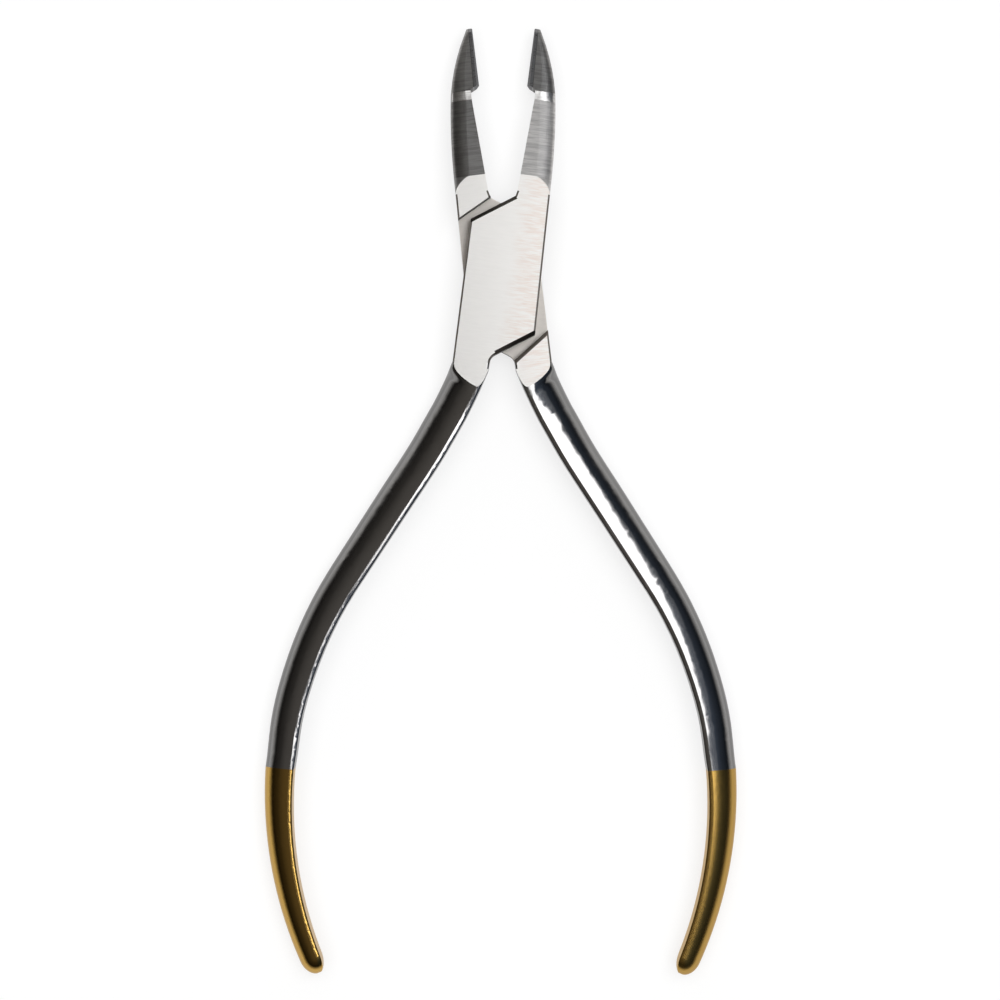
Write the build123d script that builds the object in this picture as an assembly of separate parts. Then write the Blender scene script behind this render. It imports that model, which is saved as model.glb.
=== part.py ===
"""Orthodontic cutting pliers with a lap joint, hard-metal tips and gold plated handle ends.

The pliers lie flat: tips towards +Y, handles towards -Y, +Z up. The origin is on the
pivot axis, in the flat underside of the joint. The two halves are the same forging,
turned over. Each is modelled closed, with its jaw on +X, its handle on -X and the lap
between the halves at Z = 0, then placed at its rest opening. Millimetres and degrees.
"""
from build123d import *
import math
import os

# Rest pose: how far each half stands open from the closed centre line
front_opening = 7.4
rear_opening = 7.0

# Joint box
box_thickness = 6.6
box_half_width = 5.3
box_edge_radius = 0.25
lap_gap = 0.04
plate_end_distance = 8.85
plate_end_angle = 34.5
shoulder_clearance = 0.95
foot_clearance = 0.5
jaw_shoulder_angle = 28.0
handle_shoulder_angle = 35.0
lap_bevel = 0.5
crotch_radius = 1.5

# Jaw
jaw_reach = 34.4
jaw_root_rise = 0.6
jaw_flat_length = 2.3
jaw_root_width = 5.05
jaw_outer_radius = 92.0
jaw_face_angle = 5.5
jaw_round_width = 2.2
jaw_round_height = 0.95
relief_root = 0.4
relief_foot = 1.25

# Ground tip
tip_length = 9.9
hollow_length = 1.25
hollow_radius = 8.0
tip_end_thickness = 1.7
tip_end_width = 1.05
tip_round_width = 0.7
tip_round_height = 0.5
tip_bevel = 0.5
foot_height = 1.4
foot_rise = 0.6

# Hard-metal insert
insert_foot_width = 0.75
insert_tip_width = 0.45
braze_thickness = 0.1
cutting_bevel_angle = 10.0
cutting_land = 0.2

# Handle
handle_half_gap = 0.23
handle_root_drop = 2.36
handle_root_angle = 15.0
handle_root_radius = 80.0
handle_splay_angle = 25.7
handle_straight = 19.3
handle_bow_radius = 56.5
handle_end_angle = 32.6
handle_root_width = 5.0
handle_end_width = 2.9
handle_taper_power = 2.0
handle_root_thickness = 6.1
handle_end_thickness = 4.2
handle_edge_width = 0.6
handle_edge_height = 0.12
end_round_length = 2.4
end_round_turn = 72.0
end_lean = 0.25

# Where the flat box faces run out across the handle
root_length = 7.5
root_flat_length = 0.8
root_swell = 0.24
root_square_length = 4.0
root_squareness = 16.0

# Gold plating on the handle's end
plating_length = 29.3
plating_thickness = 0.1

# Pivot screw
journal_diameter = 4.4
journal_clearance = 0.03
head_diameter = 6.2
head_height = 1.2
head_recess = 0.1
head_clearance = 0.1
head_chamfer = 0.2
thread_diameter = 3.5
thread_end_room = 0.3
screw_cover = 0.8
slot_width = 0.9
slot_depth = 0.65

# Sections drawn along each length, and points on the square back
jaw_section_count = 5
hollow_section_count = 6
tip_section_count = 5
root_section_count = 13
handle_section_count = 10
tail_section_count = 7
round_section_count = 5
back_point_count = 17

# Largest share of a wall that a rounding takes
round_limit = 0.8

half_thickness = box_thickness / 2
lap_face = lap_gap / 2
tip_start = jaw_reach - tip_length
foot_start = tip_start + foot_height
clear_all = 4 * box_thickness


def tan(angle):
    return math.tan(math.radians(angle))


def slope_line(distance, angle, side):
    """Point and direction of a plan line at a distance from the pivot, rising at an angle."""
    turn = math.radians(angle)
    direction = Vector(math.cos(turn), math.sin(turn))
    normal = Vector(-math.sin(turn), math.cos(turn))
    return normal * (side * distance), direction


def height_on(line, x):
    """Y of a plan line at an X."""
    point, direction = line
    return point.Y + (x - point.X) * direction.Y / direction.X


def plan_prism(points, low, high):
    """Upright prism over a plan polygon."""
    outline = make_face(Polyline(*points, close=True))
    return Pos(0, 0, low) * extrude(outline, high - low)


def ground_flat(shape):
    """Shape cut off at the two box faces."""
    middle = shape.center()
    return shape & (Pos(middle.X, middle.Y) * Box(clear_all, clear_all, box_thickness))


# Plan lines of the joint
shoulder_distance = plate_end_distance + shoulder_clearance
plate_top = slope_line(plate_end_distance, plate_end_angle, 1)
plate_foot = slope_line(shoulder_distance - foot_clearance, plate_end_angle, -1)
jaw_shoulder = slope_line(shoulder_distance, -jaw_shoulder_angle, 1)
handle_shoulder = slope_line(shoulder_distance, -handle_shoulder_angle, -1)
jaw_root_height = height_on(jaw_shoulder, 0) + jaw_root_rise
jaw_face_start = jaw_root_height + jaw_flat_length
flank_slope = (box_half_width - jaw_root_width) / jaw_root_height


def relief_x(y):
    """Inner edge of the jaw, ground back from the closing plane below the tip."""
    share = (y - plate_end_distance) / (tip_start - plate_end_distance)
    return relief_root + (relief_foot - relief_root) * share


def jaw_face(y):
    """Half thickness of the jaw, which stands above the box faces where it begins."""
    return half_thickness - (y - jaw_face_start) * tan(jaw_face_angle)


hollow_turn = math.radians(jaw_face_angle)
hollow_y = tip_start + hollow_radius * math.sin(hollow_turn)
hollow_z = jaw_face(tip_start) + hollow_radius * math.cos(hollow_turn)


def hollow_face(y):
    """Half thickness in the grinding wheel's hollow, which carries on from the jaw's face."""
    return hollow_z - math.sqrt(hollow_radius**2 - (y - hollow_y) ** 2)


tip_face_start = tip_start + hollow_length
tip_face_end = jaw_reach - tip_bevel
tip_root_half = hollow_face(tip_face_start)
tip_slope = (tip_root_half - tip_end_thickness / 2) / (tip_face_end - tip_face_start)


def tip_face(y):
    """Half thickness of the ground tip."""
    return tip_root_half - (y - tip_face_start) * tip_slope


jaw_bow = tip_start - jaw_face_start
tip_start_width = (
    jaw_root_width - flank_slope * (tip_start - jaw_root_height) - jaw_bow**2 / (2 * jaw_outer_radius)
)
tip_flank_slope = flank_slope + jaw_bow / jaw_outer_radius
tip_run = tip_face_end - tip_start
tip_curve = (tip_start_width - tip_flank_slope * tip_run - tip_end_width) / tip_run**2


def outer_x(y):
    """Outer edge of the jaw: straight at the box, curving in to the tip."""
    if y <= tip_start:
        bow = max(y - jaw_face_start, 0)
        return jaw_root_width - flank_slope * (y - jaw_root_height) - bow**2 / (2 * jaw_outer_radius)
    run = y - tip_start
    return tip_start_width - tip_flank_slope * run - tip_curve * run**2


def edge_round(y):
    """Width and height of the jaw's outer roundings, growing from the box, shrinking to the tip."""
    first = (box_edge_radius, box_edge_radius)
    second = (jaw_round_width, jaw_round_height)
    share = min((y - jaw_root_height) / jaw_flat_length, 1)
    if y > tip_start:
        first, second = second, (tip_round_width, tip_round_height)
        share = min((y - tip_start) / tip_run, 1)
    return [low + (high - low) * share for low, high in zip(first, second)]


def jaw_section(y, width, half, rounding):
    """Jaw cross-section at a height Y: flat inner side, two rounded outer edges."""
    across = min(rounding[0], round_limit * width)
    up = min(rounding[1], round_limit * half)
    outline = Polyline((width - across, half), (0, half), (0, -half), (width - across, -half))
    low = EllipticalCenterArc((width - across, -half + up), across, up, -90, arc_size=90)
    side = Line((width, -half + up), (width, half - up))
    high = EllipticalCenterArc((width - across, half - up), across, up, 0, arc_size=90)
    plane = Plane(origin=(0, y, 0), x_dir=(1, 0, 0), z_dir=(0, -1, 0))
    return plane * make_face([outline, low, side, high])


def jaw_loft(stations, face):
    """Length of jaw through the given heights, with the given half thickness."""
    return loft([jaw_section(y, outer_x(y), face(y), edge_round(y)) for y in stations])


def spread(start, end, count):
    """Evenly spaced values from start to end."""
    return [start + (end - start) * i / (count - 1) for i in range(count)]


def make_jaw():
    """Jaw from the box to its end, ground flat at the box and relieved behind the tip."""
    root = jaw_loft(spread(jaw_root_height, jaw_face_start, jaw_section_count), jaw_face)
    body = jaw_loft(spread(jaw_face_start, tip_start, jaw_section_count), jaw_face)
    hollow = jaw_loft(spread(tip_start, tip_face_start, hollow_section_count), hollow_face)
    tip = jaw_loft(spread(tip_face_start, tip_face_end, tip_section_count), tip_face)
    end_half = tip_end_thickness / 2
    end_width = tip_end_width - tip_bevel / 2
    end_round = edge_round(jaw_reach)
    end = loft(
        [
            jaw_section(tip_face_end, tip_end_width, end_half, end_round),
            jaw_section(jaw_reach, end_width, end_half - tip_bevel / 2, end_round),
        ]
    )
    relief = plan_prism(
        [
            (-box_half_width, 0),
            (relief_x(0), 0),
            (relief_x(tip_start), tip_start),
            (relief_x(tip_start), foot_start),
            (0, foot_start + foot_rise),
            (-box_half_width, foot_start + foot_rise),
        ],
        -clear_all,
        clear_all,
    )
    return ground_flat(root + body) + hollow + tip + end - relief


def make_handle_path():
    """Centre line of the handle: slight outward bend, straight run, long inward bow."""
    turn = math.radians(handle_root_angle)
    root_x = -handle_half_gap - handle_root_width / 2 * math.cos(turn)
    root_y = height_on(handle_shoulder, root_x) - handle_root_drop
    root = JernArc(
        (root_x, root_y),
        (-math.sin(turn), -math.cos(turn)),
        handle_root_radius,
        handle_root_angle - handle_splay_angle,
    )
    straight = Line(root @ 1, root @ 1 + (root % 1) * handle_straight)
    bow = JernArc(
        straight @ 1,
        straight % 1,
        handle_bow_radius,
        handle_splay_angle + handle_end_angle,
    )
    return Wire([root, straight, bow])


handle_path = make_handle_path()
handle_length = handle_path.length
plating_start = handle_length - plating_length
round_start = handle_length - end_round_length


def handle_width(station):
    """Width of the handle in plan."""
    share = (station / handle_length) ** handle_taper_power
    return handle_root_width + (handle_end_width - handle_root_width) * share


def handle_frame(station):
    """Plane across the handle: X outward, Z along it."""
    place = handle_path.position_at(station, PositionMode.LENGTH)
    ahead = handle_path.tangent_at(station, PositionMode.LENGTH)
    return Plane(origin=place, x_dir=(ahead.Y, -ahead.X, 0), z_dir=ahead)


def handle_edge(station, side):
    """Plan point on the inner (-1) or outer (1) edge of the handle."""
    return handle_frame(station).from_local_coords((side * handle_width(station) / 2, 0, 0))


def handle_back(crest, width, half_height, squareness):
    """Rounded back of the section, from its lower crest round to its upper crest."""
    if squareness == 0:
        return EllipticalCenterArc((crest, 0), width, half_height, -90, arc_size=180)
    power = 2 / (2 + squareness)
    points = []
    for turn in spread(-90, 90, back_point_count):
        across = width * round(math.cos(math.radians(turn)), 9) ** power
        up = half_height * abs(math.sin(math.radians(turn))) ** power
        points.append((crest + across, math.copysign(up, turn)))
    return Spline(*points, tangents=[(1, 0), (-1, 0)])


def root_fade(station, length):
    """Share of a root feature that is left: 1 at the box, falling to 0 over a length."""
    return max(1 - (station / length) ** 2, 0) ** 2


def handle_section(station, inset=0.0, scale=1.0):
    """D-shaped section across the handle, its flat side facing the other handle.

    Near the box the back is almost square and stands above the box faces, so that
    the faces, ground flat, run out across the handle. A scaled section leans inward.
    """
    taper = (handle_root_thickness - handle_end_thickness) * station / handle_length
    swell = (box_thickness + root_swell - handle_root_thickness) * root_fade(station, root_length)
    squareness = root_squareness * root_fade(station, root_square_length) ** 2
    half_width = handle_width(station) / 2 * scale - inset
    half_height = (handle_root_thickness - taper + swell) / 2 * scale - inset
    middle = end_lean * (scale - 1) * handle_width(station) / 2
    inner = middle - half_width
    edge_width = handle_edge_width * scale
    edge_height = handle_edge_height * scale
    crest = inner + edge_width
    edge = half_height - edge_height
    wall = Line((inner, -edge), (inner, edge))
    high = EllipticalCenterArc((crest, edge), edge_width, edge_height, 90, arc_size=90)
    low = EllipticalCenterArc((crest, -edge), edge_width, edge_height, 180, arc_size=90)
    back = handle_back(crest, middle + half_width - crest, half_height, squareness)
    return handle_frame(station) * make_face([wall, high, back, low])


def handle_run(start, end, count):
    """Bare length of handle between two stations."""
    return loft([handle_section(station) for station in spread(start, end, count)])


def handle_tail(inset):
    """End of the handle from the plating line to its rounding, drawn in by an inset."""
    stations = spread(plating_start, round_start, tail_section_count)
    bar = loft([handle_section(station, inset) for station in stations])
    rounding = []
    for turn in spread(0, math.radians(end_round_turn), round_section_count):
        station = round_start + (end_round_length - inset) * math.sin(turn)
        rounding.append(handle_section(station, inset, math.cos(turn)))
    return bar + loft(rounding)


def bevel_cut(line, start_x, end_x):
    """Wedge that bevels an upper box edge, with its metal on the right of the way along it."""
    start = Vector(start_x, height_on(line, start_x), half_thickness)
    end = Vector(end_x, height_on(line, end_x), half_thickness)
    ahead = (end - start).normalized()
    across = Plane(origin=start, x_dir=(-ahead.Y, ahead.X, 0), z_dir=ahead)
    size = lap_bevel
    profile = make_face(Polyline((-2 * size, size), (size, size), (size, -2 * size), close=True))
    return extrude(across * profile, (end - start).length, dir=ahead)


def make_box():
    """Joint block in plan, with its ends bevelled and the lap recess cut in its underside."""
    root_inner = handle_edge(0, -1)
    crotch = (root_inner.X, height_on(plate_foot, root_inner.X))
    flat_inner = handle_edge(root_flat_length, -1)
    flat_outer = handle_edge(root_flat_length, 1)
    flank_low = box_half_width + flank_slope * plate_end_distance
    relief_low = relief_x(plate_end_distance)
    outline = make_face(
        Polyline(
            (relief_x(jaw_root_height), jaw_root_height),
            (relief_low, height_on(plate_top, relief_low)),
            (-box_half_width, height_on(plate_top, -box_half_width)),
            (flat_outer.X, flat_outer.Y),
            (flat_inner.X, flat_inner.Y),
            (root_inner.X, root_inner.Y),
            crotch,
            (flank_low, height_on(plate_foot, flank_low)),
            (jaw_root_width, jaw_root_height),
            close=True,
        )
    )
    outline = fillet(outline.vertices().sort_by_distance(crotch)[0], crotch_radius)
    block = Pos(0, 0, -half_thickness) * extrude(outline, box_thickness)
    rims = [
        edge
        for edge in block.edges().filter_by(Plane.XY)
        if root_inner.Y + box_edge_radius < edge.center().Y < jaw_root_height - box_edge_radius
    ]
    block = fillet(rims, box_edge_radius)
    reach = 2 * box_half_width
    block -= bevel_cut(plate_top, -reach, relief_low)
    block -= bevel_cut(plate_foot, reach, root_inner.X + crotch_radius / 2)
    recess = plan_prism(
        [
            (-reach, height_on(jaw_shoulder, -reach)),
            (-reach, height_on(handle_shoulder, -reach)),
            (reach, height_on(handle_shoulder, reach)),
            (reach, height_on(jaw_shoulder, reach)),
        ],
        -clear_all,
        lap_face,
    )
    shoulder_bevel = mirror(bevel_cut(handle_shoulder, -reach, root_inner.X), Plane.XY)
    return block - recess - shoulder_bevel


def insert_zone(extra):
    """Block that takes in all of the tip on the closing side of the insert's seat."""
    taper = (insert_foot_width - insert_tip_width) / (jaw_reach - foot_start)
    far = jaw_reach + tip_length
    return plan_prism(
        [
            (-box_half_width, foot_start),
            (insert_foot_width + extra, foot_start),
            (insert_foot_width + extra - taper * (far - foot_start), far),
            (-box_half_width, far),
        ],
        -clear_all,
        clear_all,
    )


def cutting_bevels():
    """Wedges that grind the insert to a narrow land along the closing plane."""
    land = cutting_land / 2
    lean = (box_thickness - land) * tan(cutting_bevel_angle)
    profile = make_face(
        Polyline(
            (0, land),
            (lean, box_thickness),
            (-box_half_width, box_thickness),
            (-box_half_width, land),
            close=True,
        )
    )
    across = Plane(origin=(0, tip_start, 0), x_dir=(1, 0, 0), z_dir=(0, -1, 0))
    wedge = extrude(across * profile, -2 * tip_length)
    return wedge + mirror(wedge, Plane.XY)


def make_half():
    """One closed half: its forging, insert, braze layer and plated layer."""
    jaw = make_jaw()
    insert = (jaw & insert_zone(0)) - cutting_bevels()
    braze = (jaw & insert_zone(braze_thickness)) - insert_zone(0)
    root = ground_flat(handle_run(0, root_length, root_section_count))
    bare_handle = handle_run(root_length, plating_start, handle_section_count)
    core = handle_tail(plating_thickness)
    plating = handle_tail(0) - core
    forging = make_box() + (jaw - insert_zone(braze_thickness)) + root + bare_handle + core
    return {
        "half": forging,
        "cutting_insert": insert,
        "braze_layer": braze,
        "handle_plating": plating,
    }


def upright_cylinder(diameter, low, high):
    """Cylinder on the pivot axis between two heights."""
    return Pos(0, 0, low) * Cylinder(
        diameter / 2, high - low, align=(Align.CENTER, Align.CENTER, Align.MIN)
    )


screw_seat = half_thickness + lap_face
screw_hole_end = box_thickness - screw_cover
head_top = head_recess + head_height


def make_pivot_screw():
    """Slotted screw: head under the rear half, plain journal, end held in the front half."""
    head = upright_cylinder(head_diameter, head_recess, head_top)
    rim = head.edges().filter_by(GeomType.CIRCLE).sort_by(Axis.Z)[0]
    head = chamfer(rim, head_chamfer)
    slot = Pos(0, 0, head_recess) * Box(2 * head_diameter, slot_width, 2 * slot_depth)
    journal = upright_cylinder(journal_diameter, head_top, screw_seat)
    thread = upright_cylinder(thread_diameter, screw_seat, screw_hole_end - thread_end_room)
    return head - slot + journal + thread


def screw_hole_front():
    """Blind hole that takes the end of the screw."""
    return upright_cylinder(thread_diameter, 0, screw_hole_end)


def screw_hole_rear():
    """Running bore for the journal, with a recess for the head."""
    bore = upright_cylinder(journal_diameter + 2 * journal_clearance, 0, box_thickness)
    recess = upright_cylinder(head_diameter + 2 * head_clearance, 0, head_top + lap_gap)
    return bore + recess


half = make_half()
front_place = Pos(0, 0, half_thickness) * Rot(0, 0, -front_opening)
rear_place = Pos(0, 0, half_thickness) * Rot(0, 0, rear_opening) * Rot(0, 180, 0)
nodes = {"pivot_screw": make_pivot_screw()}
for name, shape in half.items():
    nodes["front_" + name] = front_place * shape
    nodes["rear_" + name] = rear_place * shape
nodes["front_half"] -= screw_hole_front()
nodes["rear_half"] -= screw_hole_rear()

os.makedirs("parts", exist_ok=True)
for name, shape in nodes.items():
    export_step(shape, f"parts/{name}.step")
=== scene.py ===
"""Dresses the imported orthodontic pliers: steel, hard metal and gold finishes, and the studio.

Sizes are in metres in the shared frame: tips towards +Y, +Z up, origin under the pivot.
"""
import math
from typing import NamedTuple

import bpy
from bpy.props import FloatProperty, FloatVectorProperty, PointerProperty
from mathutils import Matrix, Vector


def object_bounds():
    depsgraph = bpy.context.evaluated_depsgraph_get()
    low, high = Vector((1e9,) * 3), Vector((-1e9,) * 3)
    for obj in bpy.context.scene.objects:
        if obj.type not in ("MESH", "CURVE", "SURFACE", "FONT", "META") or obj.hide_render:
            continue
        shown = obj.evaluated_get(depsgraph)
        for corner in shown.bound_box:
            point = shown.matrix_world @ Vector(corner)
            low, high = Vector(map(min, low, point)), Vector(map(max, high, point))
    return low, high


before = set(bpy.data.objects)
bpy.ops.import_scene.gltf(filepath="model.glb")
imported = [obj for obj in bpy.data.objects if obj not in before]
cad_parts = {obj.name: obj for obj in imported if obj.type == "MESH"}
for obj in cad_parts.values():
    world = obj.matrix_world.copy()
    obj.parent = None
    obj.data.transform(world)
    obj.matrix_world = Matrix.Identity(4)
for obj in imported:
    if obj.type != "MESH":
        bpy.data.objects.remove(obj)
cad_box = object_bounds()

bl_info = {
    "name": "Orthodontic pliers",
    "version": (1, 0, 0),
    "blender": (4, 5, 0),
    "location": "View3D > Sidebar > Pliers",
    "description": "Finishes for lap-joint cutting pliers and the studio they lie in",
    "category": "Object",
}

FINISHES = ("handle", "satin", "jaw", "hollow", "tip", "lap", "wall", "shoulder", "flank")

# A face is flat when the upward share of its normal is above this
FLAT = 0.999
# Share of the thickness within which a face still lies on the outside of the joint
FACE_MARGIN = 0.02


class Grain(NamedTuple):
    """Fine texture of a finish."""

    waves: float  # per metre
    detail: float  # layers of finer waves
    stretch: tuple  # share of the waves along X, Y and Z
    dark: float  # share of the colour in the darkest spots
    roughness: tuple  # smoothest and roughest
    depth: float  # height of the relief, in metres


class Brush(NamedTuple):
    """Brush or grinding lines across a half."""

    wide_waves: float  # per metre
    thin_waves: float  # per metre
    depth: float  # height of the relief, in metres


EVEN = (1.0, 1.0, 1.0)
LAP_GRAIN = Grain(
    waves=3200.0, detail=3.0, stretch=(0.2, 1.0, 1.0),
    dark=0.85, roughness=(0.38, 0.5), depth=0.000004,
)
WALL_GRAIN = Grain(
    waves=3500.0, detail=4.0, stretch=EVEN,
    dark=0.6, roughness=(0.4, 0.6), depth=0.00001,
)
INSERT_GRAIN = Grain(
    waves=5200.0, detail=3.0, stretch=(0.08, 1.0, 0.3),
    dark=0.88, roughness=(0.22, 0.36), depth=0.0000015,
)
SOLDER_GRAIN = Grain(
    waves=2400.0, detail=3.0, stretch=EVEN,
    dark=0.9, roughness=(0.25, 0.4), depth=0.0000015,
)
SCREW_GRAIN = Grain(
    waves=6000.0, detail=2.0, stretch=EVEN,
    dark=0.8, roughness=(0.22, 0.36), depth=0.000006,
)
NOISE_ROUGHNESS = 0.6

# Polish: waves, hair scratches and rubbed patches, per metre, and their weights and relief
POLISH_WAVES = 700.0
HAIR_WAVES = 3000.0
HAIR_STRETCH = (1.0, 0.05, 1.0)
RUB_WAVES = 150.0
RUB_SHARE = 0.6
RUBBED_TONE = 0.9
WAVE_SHARE = 0.8
POLISH_SPREAD = 0.03
POLISH_DEPTH = 0.0000015
# Polish down the sides, told by the upward share of the normal: rougher there, and darker as
# painted shade for the shaded floor that the sides mirror
DULL_AND_SHADED_SIDE_RANGE = (0.55, 0.93)
SIDE_DULLNESS = 0.24
HANDLE_ROUGHNESS = 0.11
HANDLE_SIDE_SHADE_SHARE = 0.4
PLATING_ROUGHNESS = {"front": 0.11, "rear": 0.22}
PLATING_SIDE_SHADE_SHARE = 0.75

# Brushed joint and ground jaws: lines, and where painted shade makes the joint darker and warmer
# towards its jaw side, in metres
JOINT_BRUSH = Brush(wide_waves=3400.0, thin_waves=6000.0, depth=0.000003)
JAW_BRUSH = Brush(wide_waves=2600.0, thin_waves=5200.0, depth=0.000008)
WIDE_STRETCH = (0.12, 1.0, 0.2)
THIN_STRETCH = (0.08, 1.0, 0.2)
WIDE_SHARE = 0.45
MARK_RANGE = (0.36, 0.62)
JOINT_ROUGHNESS = (0.26, 0.36)
PATCH_WAVES = 260.0
PATCH_SHIFT = 0.002
SHADED_SIDE_RANGE = (0.0012, 0.0042)
UNSHADED_SHARE = 0.97
WARM_SHADE_SHARES = (0.9, 0.82, 0.78)
# Painted light and shade: the front jaw is painted lighter and the rear jaw darker
JAW_LIGHT_AND_SHADE_SHARE = {"front": 1.5, "rear": 0.6}
JAW_ROUGHNESS = {"front": 0.5, "rear": 0.36}
# Painted highlight: the hollow is painted brighter than the rest of the ground steel
HOLLOW_HIGHLIGHT_SHARE = 1.75
HOLLOW_ROUGHNESS = 0.32
# Painted shade: the tips are painted darker than the jaws
TIP_SHADE_SHARE = 0.65
TIP_ROUGHNESS = 0.34
GRIND_DARK = 0.72
GRIND_SPREAD = 0.06
# Painted shade: the shoulders and flanks round the lap are dark, a little lighter than the other
# walls
SHADED_SHOULDER_SHARE = 3.5
SHADED_FLANK_SHARE = 3.2

# Colour of a metal seen edge on
BRIGHT_EDGE = (1.0, 1.0, 1.0, 1.0)
DULL_EDGE = (0.3, 0.3, 0.3, 1.0)

# Floor and camera
FLOOR_SIZE = 40.0
FLOOR_DROP = 0.0001
FLOOR_GLOW = 0.7
CLIP_START = 0.01

# Room: brightness by height, tint from left to right, and the pale sweep and end wall
ROOM_LEVELS = ((0.45, 0.015), (0.77, 0.045), (0.94, 0.1), (1.0, 0.12))
TINT_RANGE = (-0.05, 0.3)
WARM_TINT = (0.95, 0.88, 0.8, 1.0)
COOL_TINT = (0.75, 0.95, 1.3, 1.0)
SWEEP_RANGE = (-0.1, 0.42)
END_WALL_RANGE = (0.45, 0.75)
PALE_WALL = (0.8, 0.79, 0.77, 1.0)


class Socket:
    """A shader socket that takes part in plain arithmetic."""

    def __init__(self, tree, socket):
        self.tree = tree
        self.socket = socket

    def math(self, operation, *values):
        return self.tree.node("ShaderNodeMath", {"operation": operation}, dict(enumerate(values)))

    def __add__(self, other):
        return self.math("ADD", self, other)

    __radd__ = __add__

    def __sub__(self, other):
        return self.math("SUBTRACT", self, other)

    def __rsub__(self, other):
        return self.math("SUBTRACT", other, self)

    def __mul__(self, other):
        return self.math("MULTIPLY", self, other)

    __rmul__ = __mul__

    def __abs__(self):
        return self.math("ABSOLUTE", self)


class NodeTree:
    """A material's or world's node tree, with one method that adds any node."""

    # A Mix node's colours come after its numbers and vectors of the same names
    first_colour, second_colour, mixed_colour = 6, 7, 2

    def __init__(self, tree):
        self.tree = tree
        self.tree.nodes.clear()

    def node(self, kind, settings=None, inputs=None, output=0):
        """Adds a node, sets it up, fills its sockets and gives one of its outputs."""
        node = self.tree.nodes.new(kind)
        for name, value in (settings or {}).items():
            if name == "stops":
                self.set_stops(node.color_ramp.elements, value)
            else:
                setattr(node, name, value)
        for name, value in (inputs or {}).items():
            if isinstance(value, Socket):
                self.tree.links.new(value.socket, node.inputs[name])
            else:
                node.inputs[name].default_value = value
        return Socket(self, node.outputs[output]) if node.outputs else None

    @staticmethod
    def set_stops(elements, stops):
        """Fills a grey ramp."""
        while len(elements) < len(stops):
            elements.new(1.0)
        for element, (position, level) in zip(elements, stops):
            element.position = position
            element.color = (level, level, level, 1.0)

    def blend(self, factor, first, second, kind="MIX"):
        """Mixes two colours."""
        inputs = {"Factor": factor, self.first_colour: first, self.second_colour: second}
        settings = {"data_type": "RGBA", "blend_type": kind}
        return self.node("ShaderNodeMix", settings, inputs, output=self.mixed_colour)

    def between(self, value, low, high):
        """Maps 0..1 to a range."""
        return value * (high - low) + low

    def step(self, value, start, end):
        """Rises smoothly from 0 at start to 1 at end."""
        inputs = {"Value": value, "From Min": start, "From Max": end}
        return self.node("ShaderNodeMapRange", {"interpolation_type": "SMOOTHSTEP"}, inputs)

    def noise(self, place, waves, detail, stretch=EVEN):
        """Noise in 0..1, with its own waves per metre along each axis."""
        size = tuple(waves * share for share in stretch)
        spot = self.node("ShaderNodeVectorMath", {"operation": "MULTIPLY"}, {0: place, 1: size})
        inputs = {"Vector": spot, "Scale": 1.0, "Detail": detail, "Roughness": NOISE_ROUGHNESS}
        return self.node("ShaderNodeTexNoise", None, inputs)

    def place(self, turn=0.0):
        """Place on the piece, turned about the pivot so that X runs across a half."""
        spot = self.node("ShaderNodeTexCoord", output="Object")
        inputs = {"Vector": spot, "Angle": turn}
        return self.node("ShaderNodeVectorRotate", {"rotation_type": "Z_AXIS"}, inputs)

    def parts(self, place):
        """X, Y and Z of a place or direction."""
        return [
            self.node("ShaderNodeSeparateXYZ", None, {0: place}, output=axis) for axis in "XYZ"
        ]

    def bump(self, height, depth):
        """Normal of a surface with that relief."""
        inputs = {"Height": height, "Distance": depth, "Strength": 1.0}
        return self.node("ShaderNodeBump", None, inputs)


def metal(name, paint, edge=BRIGHT_EDGE):
    """Material whose colour, roughness and normal come from a painting function."""
    material = bpy.data.materials.new(name)
    material.use_nodes = True
    tree = NodeTree(material.node_tree)
    inputs = {"Metallic": 1.0, "Specular Tint": edge, **paint(tree)}
    shader = tree.node("ShaderNodeBsdfPrincipled", None, inputs)
    tree.node("ShaderNodeOutputMaterial", None, {"Surface": shader})
    return material


class PliersShape(bpy.types.PropertyGroup):
    """Where the halves lie and where their finishes change."""

    front_opening: FloatProperty(
        name="Front half opening",
        description="Turn of the front half from the closed centre line",
        default=math.radians(7.4),
        subtype="ANGLE",
    )
    rear_opening: FloatProperty(
        name="Rear half opening",
        description="Turn of the rear half from the closed centre line",
        default=math.radians(7.0),
        subtype="ANGLE",
    )
    jaw_root: FloatProperty(
        name="Jaw root",
        description="Distance from the pivot at which a jaw begins",
        default=0.0117,
        unit="LENGTH",
    )
    jaw_face_start: FloatProperty(
        name="Jaw face start",
        description="Distance from the pivot at which a jaw leaves the flat of the joint",
        default=0.014,
        unit="LENGTH",
    )
    tip_start: FloatProperty(
        name="Tip start",
        description="Distance from the pivot at which the hollow before the tip begins",
        default=0.0245,
        unit="LENGTH",
    )
    tip_face_start: FloatProperty(
        name="Tip face start",
        description="Distance from the pivot at which the hollow runs into the ground tip",
        default=0.02575,
        unit="LENGTH",
    )
    joint_end: FloatProperty(
        name="Joint end",
        description="Distance from the pivot at which the joint's walls run into the handle",
        default=0.0125,
        unit="LENGTH",
    )
    thickness: FloatProperty(
        name="Thickness",
        description="Height of the joint over both flat faces",
        default=cad_box[1].z - cad_box[0].z,
        unit="LENGTH",
    )


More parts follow.
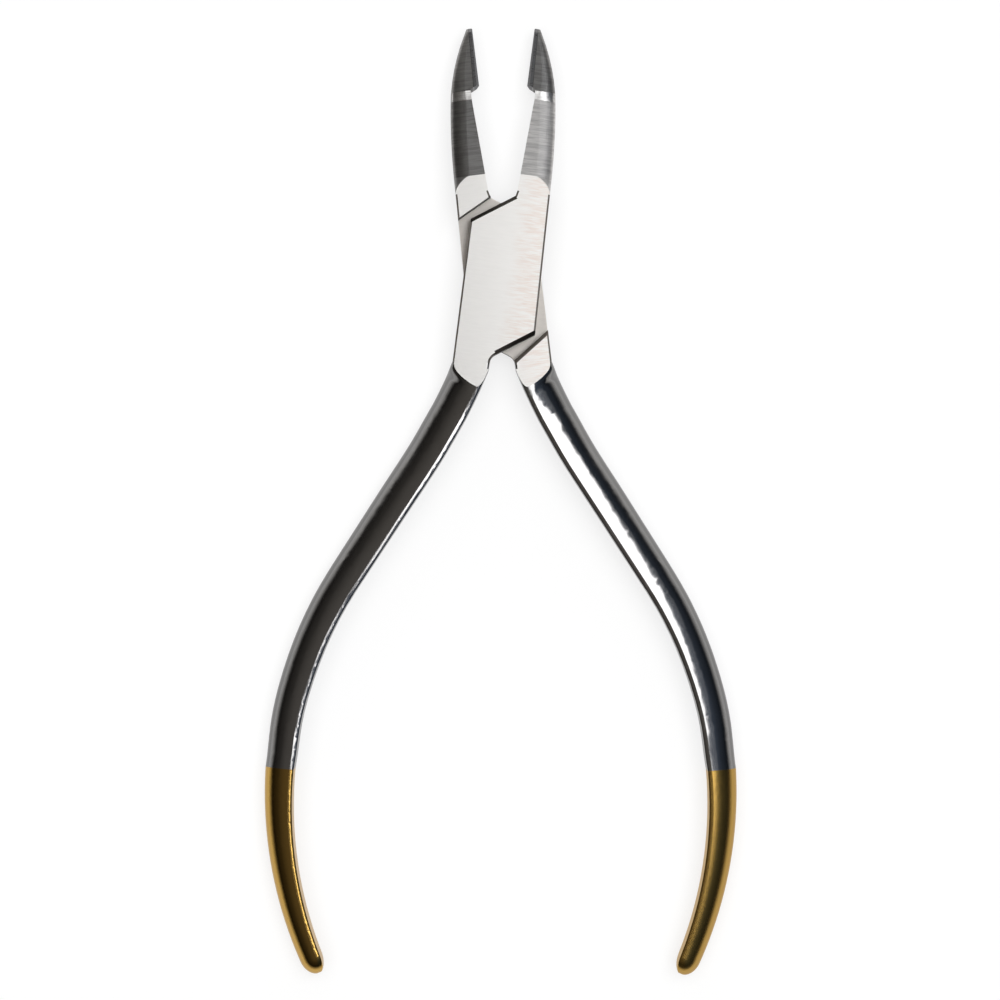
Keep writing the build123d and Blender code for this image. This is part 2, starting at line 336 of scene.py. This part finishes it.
class PliersMetals(bpy.types.PropertyGroup):
    """Colours of the metals."""

    polished: FloatVectorProperty(
        name="Polished steel",
        description="Colour of the mirror polished handles",
        default=(0.5, 0.49, 0.485),
        subtype="COLOR",
        min=0.0,
        max=1.0,
    )
    satin: FloatVectorProperty(
        name="Satin steel",
        description="Colour of the cross-brushed joint and the screw",
        default=(0.92, 0.905, 0.88),
        subtype="COLOR",
        min=0.0,
        max=1.0,
    )
    ground: FloatVectorProperty(
        name="Ground steel",
        description="Colour of the ground jaws and tips",
        default=(0.57, 0.56, 0.55),
        subtype="COLOR",
        min=0.0,
        max=1.0,
    )
    lap: FloatVectorProperty(
        name="Lap steel",
        description="Colour of the lap's floor, seen beside the front plate",
        default=(0.97, 0.92, 0.86),
        subtype="COLOR",
        min=0.0,
        max=1.0,
    )
    # Painted shade: the walls round the lap are dark where shade falls in the lap's corners
    wall: FloatVectorProperty(
        name="Lap walls",
        description="Colour of the unpolished walls round the lap",
        default=(0.1, 0.09, 0.08),
        subtype="COLOR",
        min=0.0,
        max=1.0,
    )
    hard_metal: FloatVectorProperty(
        name="Hard metal",
        description="Colour of the cutting inserts",
        default=(0.28, 0.28, 0.29),
        subtype="COLOR",
        min=0.0,
        max=1.0,
    )
    solder: FloatVectorProperty(
        name="Silver solder",
        description="Colour of the darkened solder line behind an insert",
        default=(0.18, 0.18, 0.18),
        subtype="COLOR",
        min=0.0,
        max=1.0,
    )
    gold: FloatVectorProperty(
        name="Gold plating",
        description="Colour of the plated handle ends",
        default=(0.68, 0.42, 0.11),
        subtype="COLOR",
        min=0.0,
        max=1.0,
    )


class PliersStudio(bpy.types.PropertyGroup):
    """Floor, lamps and camera."""

    floor: FloatVectorProperty(
        name="Floor",
        description="Colour of the floor",
        default=(1.0, 1.0, 1.0),
        subtype="COLOR",
        min=0.0,
        max=1.0,
    )
    lens: FloatProperty(
        name="Lens",
        description="Focal length of the camera",
        default=120.0,
        unit="CAMERA",
    )
    view_width: FloatProperty(
        name="View width",
        description="Width of the picture at the height of the handles",
        default=0.1379,
        unit="LENGTH",
    )
    view_centre: FloatVectorProperty(
        name="View centre",
        description="Point that the camera looks down on",
        default=(-0.00034, -0.0309, 0.004),
        subtype="XYZ",
        unit="LENGTH",
    )
    lamp_power: FloatProperty(
        name="Lamp power",
        description="Brightness of the soft boxes as they are seen in a mirror",
        default=2.7,
    )
    wide_box_size: FloatVectorProperty(
        name="Wide box size",
        description="Width and length of the soft box on the right",
        default=(0.2, 0.664),
        size=2,
        unit="LENGTH",
    )
    wide_box_place: FloatVectorProperty(
        name="Wide box place",
        description="Centre of the soft box on the right",
        default=(0.295, 0.1485, 0.9),
        subtype="XYZ",
        unit="LENGTH",
    )
    wide_box_turn: FloatProperty(
        name="Wide box turn",
        description="Turn of the soft box on the right and of the halo behind it",
        default=math.radians(-37.9),
        subtype="ANGLE",
    )
    near_box_size: FloatVectorProperty(
        name="Near box size",
        description="Width and length of the soft box over the pliers",
        default=(0.09, 0.445),
        size=2,
        unit="LENGTH",
    )
    near_box_place: FloatVectorProperty(
        name="Near box place",
        description="Centre of the soft box over the pliers",
        default=(0.08, 0.028, 0.9),
        subtype="XYZ",
        unit="LENGTH",
    )
    near_box_turn: FloatProperty(
        name="Near box turn",
        description="Turn of the soft box over the pliers",
        default=math.radians(15.0),
        subtype="ANGLE",
    )
    halo_power: FloatProperty(
        name="Halo power",
        description="Brightness of the dim panel above the soft boxes",
        default=0.09,
    )
    halo_size: FloatVectorProperty(
        name="Halo size",
        description="Width and length of the dim panel",
        default=(0.44, 0.9),
        size=2,
        unit="LENGTH",
    )
    halo_place: FloatVectorProperty(
        name="Halo place",
        description="Centre of the dim panel, above the soft boxes",
        default=(0.34, 0.06, 0.95),
        subtype="XYZ",
        unit="LENGTH",
    )
    fill_power: FloatProperty(
        name="Fill power",
        description="Brightness of the wide lamp that lights the floor evenly",
        default=3.0,
    )
    fill_size: FloatVectorProperty(
        name="Fill size",
        description="Width and length of the wide lamp",
        default=(1.0, 1.0),
        size=2,
        unit="LENGTH",
    )
    fill_place: FloatVectorProperty(
        name="Fill place",
        description="Centre of the wide lamp",
        default=(0.0, 0.0, 1.0),
        subtype="XYZ",
        unit="LENGTH",
    )


def tone(shade, share=1.0):
    """Property colour times a share, as a socket value."""
    return (*(value * share for value in shade), 1.0)


def polished_painter(shade, rough, side_shade_share):
    """Mirror polish, duller down the sides and darker there as painted shade, with faint waves
    and hair scratches.
    """

    def paint(tree):
        place = tree.place()
        upward = tree.parts(tree.node("ShaderNodeNewGeometry", output="Normal"))[2]
        # The sides are rougher, and their colour is darker as painted shade
        side = 1.0 - tree.step(abs(upward), *DULL_AND_SHADED_SIDE_RANGE)
        wave = tree.noise(place, POLISH_WAVES, detail=2.0)
        hair = tree.noise(place, HAIR_WAVES, detail=4.0, stretch=HAIR_STRETCH)
        rub = tree.noise(place, RUB_WAVES, detail=3.0)
        bright = tree.blend(rub, tone(shade, RUBBED_TONE), tone(shade))
        wear = rub * RUB_SHARE + hair * (1.0 - RUB_SHARE)
        dull = tree.between(wear, rough - POLISH_SPREAD, rough + POLISH_SPREAD)
        return {
            # Painted shade: the base colour darkens down the sides
            "Base Color": tree.blend(side, bright, tone(shade, side_shade_share)),
            "Roughness": dull + side * SIDE_DULLNESS,
            "Normal": tree.bump(wave * WAVE_SHARE + hair * (1.0 - WAVE_SHARE), POLISH_DEPTH),
        }

    return paint


def cross_brushed(tree, turn, brush):
    """Place on a half, its brush lines as streaks of two widths, and their marks."""
    place = tree.place(turn)
    wide = tree.noise(place, brush.wide_waves, detail=2.0, stretch=WIDE_STRETCH)
    thin = tree.noise(place, brush.thin_waves, detail=3.0, stretch=THIN_STRETCH)
    lines = wide * WIDE_SHARE + thin * (1.0 - WIDE_SHARE)
    return place, lines, tree.step(lines, *MARK_RANGE)


def satin_painter(shade, turn):
    """Cross-brushed flat of the joint, with painted shade that makes it darker and warmer towards
    its jaw side.
    """

    def paint(tree):
        place, lines, marks = cross_brushed(tree, turn, JOINT_BRUSH)
        across = tree.parts(place)[0]
        patch = tree.noise(place, PATCH_WAVES, detail=2.0)
        # Painted shade: the flat turns darker and warmer towards its jaw side, where the light
        # falls off
        shaded_side = tree.step(across + patch * PATCH_SHIFT, *SHADED_SIDE_RANGE)
        warm_shade = tone([value * share for value, share in zip(shade, WARM_SHADE_SHARES)])
        dark = tree.blend(shaded_side, tone(shade, UNSHADED_SHARE), warm_shade)
        return {
            "Base Color": tree.blend(marks, dark, tone(shade)),
            "Roughness": tree.between(lines, *JOINT_ROUGHNESS),
            "Normal": tree.bump(lines, JOINT_BRUSH.depth),
        }

    return paint


def ground_painter(shade, turn, share, rough):
    """Jaw, hollow or tip ground across its length, its colour raised or lowered by a share as
    painted light and shade.
    """

    def paint(tree):
        _, lines, marks = cross_brushed(tree, turn, JAW_BRUSH)
        return {
            "Base Color": tree.blend(marks, tone(shade, share * GRIND_DARK), tone(shade, share)),
            "Roughness": tree.between(lines, rough - GRIND_SPREAD, rough + GRIND_SPREAD),
            "Normal": tree.bump(lines, JAW_BRUSH.depth),
        }

    return paint


def grained(tree, shade, share, grain, spots):
    """Colour, roughness and normal of a surface with such spots."""
    return {
        "Base Color": tree.blend(spots, tone(shade, share * grain.dark), tone(shade, share)),
        "Roughness": tree.between(spots, *grain.roughness),
        "Normal": tree.bump(spots, grain.depth),
    }


def grained_painter(shade, grain, share=1.0):
    """Even finish with one kind of grain: lap, walls, inserts and solder; the walls are dark as
    painted shade.
    """

    def paint(tree):
        spots = tree.noise(tree.place(), grain.waves, grain.detail, grain.stretch)
        return grained(tree, shade, share, grain, spots)

    return paint


def turned_painter(shade, grain):
    """Turned steel: rings round the pivot axis."""

    def paint(tree):
        x, y, _ = tree.parts(tree.place())
        square = x * x + y * y
        inputs = {"W": square.math("SQRT", square), "Scale": grain.waves, "Detail": grain.detail}
        rings = tree.node("ShaderNodeTexNoise", {"noise_dimensions": "1D"}, inputs)
        return grained(tree, shade, 1.0, grain, rings)

    return paint


def set_finishes(node, materials, pick=lambda face: 0):
    """Gives a node its materials, and each of its faces the one that a rule picks."""
    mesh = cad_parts[node].data
    mesh.materials.clear()
    for material in materials:
        mesh.materials.append(material)
    for face in mesh.polygons:
        face.material_index = pick(face)


class PLIERS_OT_halves(bpy.types.Operator):
    """Polishes, brushes and grinds the two forged halves"""

    bl_idname = "pliers.halves"
    bl_label = "Finish the halves"

    def execute(self, context):
        shape = context.scene.pliers_shape
        metals = context.scene.pliers_metals
        polish = polished_painter(metals.polished, HANDLE_ROUGHNESS, HANDLE_SIDE_SHADE_SHARE)
        # The walls, shoulders and flanks round the lap are dark as painted shade
        shoulder = grained_painter(metals.wall, WALL_GRAIN, SHADED_SHOULDER_SHARE)
        flank = grained_painter(metals.wall, WALL_GRAIN, SHADED_FLANK_SHARE)
        shared = {
            "handle": metal("polished_steel", polish),
            "lap": metal("milled_lap_steel", grained_painter(metals.lap, LAP_GRAIN)),
            "wall": metal("dark_lap_walls", grained_painter(metals.wall, WALL_GRAIN)),
            "shoulder": metal("dull_shoulder", shoulder),
            "flank": metal("dull_flank", flank),
        }
        for side, turn in (("front", shape.front_opening), ("rear", -shape.rear_opening)):
            own = {"satin": metal(f"{side}_satin_steel", satin_painter(metals.satin, turn))}
            # The shares paint light and shade into the ground steel of jaw, hollow and tip
            ground = {
                "jaw": (JAW_LIGHT_AND_SHADE_SHARE[side], JAW_ROUGHNESS[side]),
                "hollow": (HOLLOW_HIGHLIGHT_SHARE, HOLLOW_ROUGHNESS),
                "tip": (TIP_SHADE_SHARE, TIP_ROUGHNESS),
            }
            for name, (share, rough) in ground.items():
                paint = ground_painter(metals.ground, turn, share, rough)
                own[name] = metal(f"{side}_{name}_steel", paint, DULL_EDGE)
            materials = [{**shared, **own}[name] for name in FINISHES]
            set_finishes(f"{side}_half", materials, self.region_rule(shape, turn))
        return {"FINISHED"}

    @staticmethod
    def region_rule(shape, turn):
        """Rule that tells a face's finish from its place on the closed half."""
        closed = Matrix.Rotation(turn, 3, "Z")
        margin = FACE_MARGIN * shape.thickness

        def finish(face):
            spot = closed @ face.center
            facing = closed @ face.normal
            flat = abs(facing.z) > FLAT
            inside = margin < face.center.z < shape.thickness - margin
            if spot.y > shape.tip_face_start:
                return "tip"
            if spot.y > shape.tip_start and abs(facing.z) > abs(facing.x):
                return "hollow"
            if spot.y > shape.jaw_face_start:
                return "jaw"
            if flat and not inside:
                return "satin"
            if spot.y > shape.jaw_root:
                return "jaw"
            if spot.y < -shape.joint_end:
                return "handle"
            if flat:
                return "lap"
            # Walls round the lap get the dark finishes of painted shade
            if abs(facing.y) < abs(facing.x):
                return "flank"
            return "shoulder" if facing.y > 0.0 > spot.y else "wall"

        return lambda face: FINISHES.index(finish(face))


class PLIERS_OT_inserts(bpy.types.Operator):
    """Finishes the hard-metal inserts and their solder lines"""

    bl_idname = "pliers.inserts"
    bl_label = "Finish the inserts"

    def execute(self, context):
        metals = context.scene.pliers_metals
        grind = grained_painter(metals.hard_metal, INSERT_GRAIN)
        hard_metal = metal("ground_hard_metal", grind, DULL_EDGE)
        solder = metal("silver_solder", grained_painter(metals.solder, SOLDER_GRAIN))
        for side in ("front", "rear"):
            set_finishes(f"{side}_cutting_insert", [hard_metal])
            set_finishes(f"{side}_braze_layer", [solder])
        return {"FINISHED"}


class PLIERS_OT_plating(bpy.types.Operator):
    """Finishes the gold plated handle ends"""

    bl_idname = "pliers.plating"
    bl_label = "Finish the plating"

    def execute(self, context):
        shade = context.scene.pliers_metals.gold
        for side, rough in PLATING_ROUGHNESS.items():
            # The plating's sides are painted darker as shade, as on the handles
            polish = polished_painter(shade, rough, PLATING_SIDE_SHADE_SHARE)
            set_finishes(f"{side}_handle_plating", [metal(f"{side}_gold_plating", polish)])
        return {"FINISHED"}


class PLIERS_OT_screw(bpy.types.Operator):
    """Finishes the pivot screw"""

    bl_idname = "pliers.screw"
    bl_label = "Finish the screw"

    def execute(self, context):
        turned = turned_painter(context.scene.pliers_metals.satin, SCREW_GRAIN)
        set_finishes("pivot_screw", [metal("turned_screw_steel", turned)])
        return {"FINISHED"}


class PLIERS_OT_stage(bpy.types.Operator):
    """Builds the floor, lamps, surroundings and camera"""

    bl_idname = "pliers.stage"
    bl_label = "Build the stage"

    def execute(self, context):
        studio = context.scene.pliers_studio
        self.add_floor(studio)
        self.add_lamps(studio)
        self.set_world(context.scene)
        self.add_camera(context.scene, studio)
        context.scene.view_settings.view_transform = "Standard"
        return {"FINISHED"}

    def add_floor(self, studio):
        """Pale floor that partly glows where it is seen, and keeps the shadow."""
        height = cad_box[0].z - FLOOR_DROP
        bpy.ops.mesh.primitive_plane_add(size=FLOOR_SIZE, location=(0.0, 0.0, height))
        floor = bpy.context.object
        floor.name = "floor"
        material = bpy.data.materials.new("pale_floor")
        material.use_nodes = True
        tree = NodeTree(material.node_tree)
        rays = [
            tree.node("ShaderNodeLightPath", output=name)
            for name in ("Is Camera Ray", "Is Glossy Ray", "Is Transmission Ray")
        ]
        seen = rays[0] + rays[1] + rays[2]
        shade = tone(studio.floor)
        lit = tree.node("ShaderNodeBsdfDiffuse", None, {"Color": shade})
        white = tree.node("ShaderNodeEmission", None, {"Color": shade, "Strength": 1.0})
        shader = tree.node("ShaderNodeMixShader", None, {0: seen * FLOOR_GLOW, 1: lit, 2: white})
        tree.node("ShaderNodeOutputMaterial", None, {"Surface": shader})
        floor.data.materials.append(material)

    def add_lamps(self, studio):
        """Two soft boxes in a wedge, a dim halo above, and a fill that metal doesn't mirror."""
        panels = {
            "halo": (studio.wide_box_turn, studio.halo_power),
            "wide_box": (studio.wide_box_turn, studio.lamp_power),
            "near_box": (studio.near_box_turn, studio.lamp_power),
            "fill": (0.0, studio.fill_power),
        }
        for name, (turn, power) in panels.items():
            size = getattr(studio, f"{name}_size")
            place = getattr(studio, f"{name}_place")
            panel = self.add_panel(name, size, place, power)
            panel.rotation_euler.z = turn
            panel.visible_glossy = name != "fill"

    @staticmethod
    def add_panel(name, size, place, brightness):
        """Flat panel facing down, with its brightness as seen in a mirror."""
        lamp = bpy.data.lights.new(name, "AREA")
        lamp.shape = "RECTANGLE"
        lamp.size, lamp.size_y = size
        lamp.energy = brightness * math.pi * size[0] * size[1]
        panel = bpy.data.objects.new(name, lamp)
        panel.location = place
        bpy.context.scene.collection.objects.link(panel)
        return panel

    def set_world(self, scene):
        """Dim room, warm on the left and cool on the right.

        A pale sweep lies low all round, and a pale wall stands beyond the tips.
        """
        scene.world = bpy.data.worlds.new("studio")
        scene.world.use_nodes = True
        tree = NodeTree(scene.world.node_tree)
        x, y, z = tree.parts(tree.node("ShaderNodeTexCoord", output="Generated"))
        dim = tree.node("ShaderNodeValToRGB", {"stops": ROOM_LEVELS}, {"Fac": z})
        tint = tree.blend(tree.step(x, *TINT_RANGE), WARM_TINT, COOL_TINT)
        room = tree.blend(1.0, dim, tint, "MULTIPLY")
        pale = (1.0 - tree.step(z, *SWEEP_RANGE)) + tree.step(y, *END_WALL_RANGE)
        shade = tree.blend(pale, room, PALE_WALL)
        sky = tree.node("ShaderNodeBackground", None, {"Color": shade, "Strength": 1.0})
        tree.node("ShaderNodeOutputWorld", None, {"Surface": sky})

    def add_camera(self, scene, studio):
        """Camera that looks straight down."""
        lens = bpy.data.cameras.new("camera")
        lens.lens = studio.lens
        lens.clip_start = CLIP_START
        camera = bpy.data.objects.new("camera", lens)
        distance = studio.view_width * studio.lens / lens.sensor_width
        camera.location = Vector(studio.view_centre) + Vector((0.0, 0.0, distance))
        scene.collection.objects.link(camera)
        scene.camera = camera


class PLIERS_PT_sidebar(bpy.types.Panel):
    """Lists the steps and settings"""

    bl_idname = "PLIERS_PT_sidebar"
    bl_label = "Pliers"
    bl_space_type = "VIEW_3D"
    bl_region_type = "UI"
    bl_category = "Pliers"

    def draw(self, context):
        for operator in operators:
            self.layout.operator(operator.bl_idname)
        for name, group in groups.items():
            for setting in group.__annotations__:
                self.layout.prop(getattr(context.scene, name), setting)


groups = {
    "pliers_shape": PliersShape,
    "pliers_metals": PliersMetals,
    "pliers_studio": PliersStudio,
}
operators = (
    PLIERS_OT_halves,
    PLIERS_OT_inserts,
    PLIERS_OT_plating,
    PLIERS_OT_screw,
    PLIERS_OT_stage,
)


def register():
    for item in (*groups.values(), *operators, PLIERS_PT_sidebar):
        bpy.utils.register_class(item)
    for name, group in groups.items():
        setattr(bpy.types.Scene, name, PointerProperty(type=group))


def unregister():
    for name in groups:
        delattr(bpy.types.Scene, name)
    for item in (PLIERS_PT_sidebar, *reversed(operators), *reversed(groups.values())):
        bpy.utils.unregister_class(item)


def main():
    register()
    bpy.ops.pliers.halves()
    bpy.ops.pliers.inserts()
    bpy.ops.pliers.plating()
    bpy.ops.pliers.screw()
    bpy.ops.pliers.stage()


if __name__ == "__main__":
    main()
